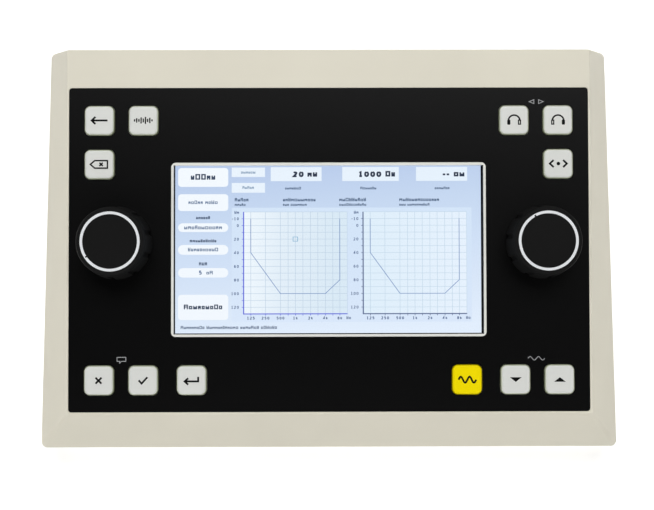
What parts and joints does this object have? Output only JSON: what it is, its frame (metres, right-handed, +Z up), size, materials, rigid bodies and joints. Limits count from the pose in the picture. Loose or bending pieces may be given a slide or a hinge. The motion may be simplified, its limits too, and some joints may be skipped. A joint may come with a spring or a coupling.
{
  "type": "audiometer",
  "caption": "Desktop wedge console for hearing tests: flared cream case, black front sheet, colour display, square push keys and large lobed rotary knobs.",
  "frame": {"origin": "on the table under the middle of the case, at the underside of the feet", "axes": "+X to the user's right, +Y to the rear (connector side), +Z up; the control panel rises to the rear at 6 degrees"},
  "size_m": [0.298, 0.21, 0.0719],
  "materials": {
    "case_plastic": "fine moulded texture",
    "circuit_board": "solder mask",
    "component_black": "moulded",
    "encoder_metal": "die cast",
    "flat_cable": "polyester film",
    "foam": "closed-cell foam",
    "foot_rubber": "moulded",
    "jack_black": "moulded",
    "key_white": "satin",
    "key_yellow": "satin",
    "knob_black": "soft-touch",
    "knob_cap_black": "fine grain",
    "lcd_face": "backlit",
    "nickel": "nickel plated",
    "panel_black": "powder coated",
    "ring_white": "smooth",
    "rocker_black": "moulded",
    "screw_steel": "zinc plated",
    "sheet_black": "satin printed film",
    "sheet_steel": "zinc plated",
    "touch_glass": "clear"
  },
  "bodies": {
    "housing": {"case_screws": "screw_steel", "dc_socket": "jack_black", "display_board": "circuit_board", "display_bracket": "sheet_steel", "display_cable": "flat_cable", "display_gasket": "foam", "display_screws": "screw_steel", "encoder_body_left": "encoder_metal", "encoder_body_right": "encoder_metal", "encoder_nuts": "nickel", "encoder_washers": "nickel", "feet": "foot_rubber", "front_sheet": "sheet_black", "jack_bone": "jack_black", "jack_nuts": "nickel", "jack_phone_left": "jack_black", "jack_phone_right": "jack_black", "jack_response": "jack_black", "key_board_left": "circuit_board", "key_board_right": "circuit_board", "key_board_screws": "screw_steel", "key_cable_left": "flat_cable", "key_cable_right": "flat_cable", "key_switches": "component_black", "lcd_frame": "sheet_steel", "lcd_panel": "lcd_face", "lower_shell": "case_plastic", "main_board": "circuit_board", "main_board_parts": "component_black", "main_board_screws": "screw_steel", "power_switch": "jack_black", "rear_panel": "panel_black", "touch_panel": "touch_glass", "upper_shell": "case_plastic", "usb_socket": "nickel"},
    "key_back": {"key_back": "key_white"},
    "key_mask": {"key_mask": "key_white"},
    "key_delete": {"key_delete": "key_white"},
    "key_left_ear": {"key_left_ear": "key_white"},
    "key_right_ear": {"key_right_ear": "key_white"},
    "key_bone": {"key_bone": "key_white"},
    "key_no": {"key_no": "key_white"},
    "key_yes": {"key_yes": "key_white"},
    "key_enter": {"key_enter": "key_white"},
    "key_signal": {"key_signal": "key_yellow"},
    "key_down": {"key_down": "key_white"},
    "key_up": {"key_up": "key_white"},
    "knob_left": {"knob_grip_left": "knob_black", "knob_ring_left": "ring_white", "knob_cap_left": "knob_cap_black", "encoder_shaft_left": "nickel"},
    "knob_right": {"knob_grip_right": "knob_black", "knob_ring_right": "ring_white", "knob_cap_right": "knob_cap_black", "encoder_shaft_right": "nickel"},
    "power_rocker": {"power_rocker": "rocker_black"}
  },
  "joints": [
    {"name": "key_back_press", "type": "slide", "parent": "housing", "child": "key_back", "axis": [0, 0.1045, -0.9945], "range_m": [0, 0.001], "stiffness_N_per_m": 800, "springref_m": -0.001},
    {"name": "key_mask_press", "type": "slide", "parent": "housing", "child": "key_mask", "axis": [0, 0.1045, -0.9945], "range_m": [0, 0.001], "stiffness_N_per_m": 800, "springref_m": -0.001},
    {"name": "key_delete_press", "type": "slide", "parent": "housing", "child": "key_delete", "axis": [0, 0.1045, -0.9945], "range_m": [0, 0.001], "stiffness_N_per_m": 800, "springref_m": -0.001},
    {"name": "key_left_ear_press", "type": "slide", "parent": "housing", "child": "key_left_ear", "axis": [0, 0.1045, -0.9945], "range_m": [0, 0.001], "stiffness_N_per_m": 800, "springref_m": -0.001},
    {"name": "key_right_ear_press", "type": "slide", "parent": "housing", "child": "key_right_ear", "axis": [0, 0.1045, -0.9945], "range_m": [0, 0.001], "stiffness_N_per_m": 800, "springref_m": -0.001},
    {"name": "key_bone_press", "type": "slide", "parent": "housing", "child": "key_bone", "axis": [0, 0.1045, -0.9945], "range_m": [0, 0.001], "stiffness_N_per_m": 800, "springref_m": -0.001},
    {"name": "key_no_press", "type": "slide", "parent": "housing", "child": "key_no", "axis": [0, 0.1045, -0.9945], "range_m": [0, 0.001], "stiffness_N_per_m": 800, "springref_m": -0.001},
    {"name": "key_yes_press", "type": "slide", "parent": "housing", "child": "key_yes", "axis": [0, 0.1045, -0.9945], "range_m": [0, 0.001], "stiffness_N_per_m": 800, "springref_m": -0.001},
    {"name": "key_enter_press", "type": "slide", "parent": "housing", "child": "key_enter", "axis": [0, 0.1045, -0.9945], "range_m": [0, 0.001], "stiffness_N_per_m": 800, "springref_m": -0.001},
    {"name": "key_signal_press", "type": "slide", "parent": "housing", "child": "key_signal", "axis": [0, 0.1045, -0.9945], "range_m": [0, 0.001], "stiffness_N_per_m": 800, "springref_m": -0.001},
    {"name": "key_down_press", "type": "slide", "parent": "housing", "child": "key_down", "axis": [0, 0.1045, -0.9945], "range_m": [0, 0.001], "stiffness_N_per_m": 800, "springref_m": -0.001},
    {"name": "key_up_press", "type": "slide", "parent": "housing", "child": "key_up", "axis": [0, 0.1045, -0.9945], "range_m": [0, 0.001], "stiffness_N_per_m": 800, "springref_m": -0.001},
    {"name": "knob_left_turn", "type": "hinge", "parent": "housing", "child": "knob_left", "pos_m": [-0.1075, -0.00257, 0.05085], "axis": [0, -0.1045, 0.9945], "continuous": true},
    {"name": "knob_right_turn", "type": "hinge", "parent": "housing", "child": "knob_right", "pos_m": [0.1075, -0.00257, 0.05085], "axis": [0, -0.1045, 0.9945], "continuous": true},
    {"name": "power_rocker_tilt", "type": "hinge", "parent": "housing", "child": "power_rocker", "pos_m": [-0.074, 0.0942, 0.03], "axis": [0, 0, 1], "range_deg": [0, 14]}
  ]
}
